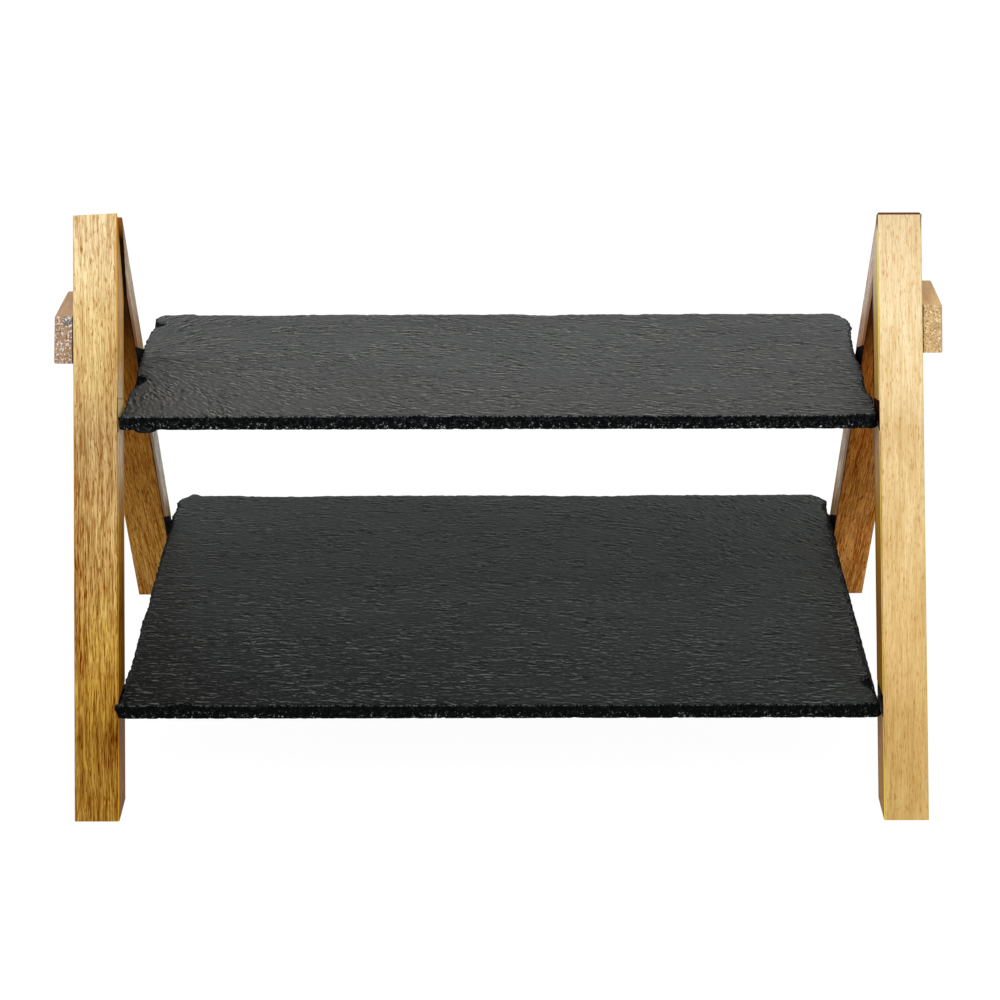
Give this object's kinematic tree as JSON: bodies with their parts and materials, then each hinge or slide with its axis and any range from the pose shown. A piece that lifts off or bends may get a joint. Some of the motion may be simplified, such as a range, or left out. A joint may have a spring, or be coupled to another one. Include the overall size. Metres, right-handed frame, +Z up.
{
  "type": "tiered cake stand",
  "caption": "Tiered cake stand: slate shelves, a narrow one above a deeper one, held in housings between mitred wooden A-frames with outer crossbars.",
  "frame": {"origin": "on the table, at the centre of the stand's outline seen from above", "axes": "+X along the slates to the right, +Y to the back, +Z up"},
  "size_m": [0.4656, 0.2866, 0.2833],
  "materials": {
    "left_front_wood": "oiled",
    "left_rear_wood": "oiled",
    "right_front_wood": "oiled",
    "right_rear_wood": "oiled",
    "left_crossbar_wood": "oiled",
    "right_crossbar_wood": "oiled",
    "dowel_wood": "oiled",
    "upper_slate_stone": "riven",
    "lower_slate_stone": "riven",
    "screw_steel": "satin",
    "pad_rubber": "matt"
  },
  "bodies": {
    "left_frame": {"left_front_leg": "left_front_wood", "left_rear_leg": "left_rear_wood", "left_crossbar": "left_crossbar_wood", "left_crossbar_screws": "screw_steel", "left_mitre_dowels": "dowel_wood"},
    "right_frame": {"right_front_leg": "right_front_wood", "right_rear_leg": "right_rear_wood", "right_crossbar": "right_crossbar_wood", "right_crossbar_screws": "screw_steel", "right_mitre_dowels": "dowel_wood"},
    "upper_tier": {"upper_slate": "upper_slate_stone", "upper_left_front_pad": "pad_rubber", "upper_left_rear_pad": "pad_rubber", "upper_right_front_pad": "pad_rubber", "upper_right_rear_pad": "pad_rubber"},
    "lower_tier": {"lower_slate": "lower_slate_stone", "lower_left_front_pad": "pad_rubber", "lower_left_rear_pad": "pad_rubber", "lower_right_front_pad": "pad_rubber", "lower_right_rear_pad": "pad_rubber"}
  },
  "joints": [
    {"name": "right_frame_slide", "type": "slide", "parent": "left_frame", "child": "right_frame", "axis": [1, 0, 0], "range_m": [0, 0.02]},
    {"name": "upper_slate_slide", "type": "slide", "parent": "left_frame", "child": "upper_tier", "axis": [0, -1, 0], "range_m": [0, 0.155]},
    {"name": "lower_slate_slide", "type": "slide", "parent": "left_frame", "child": "lower_tier", "axis": [0, -1, 0], "range_m": [0, 0.26]}
  ]
}
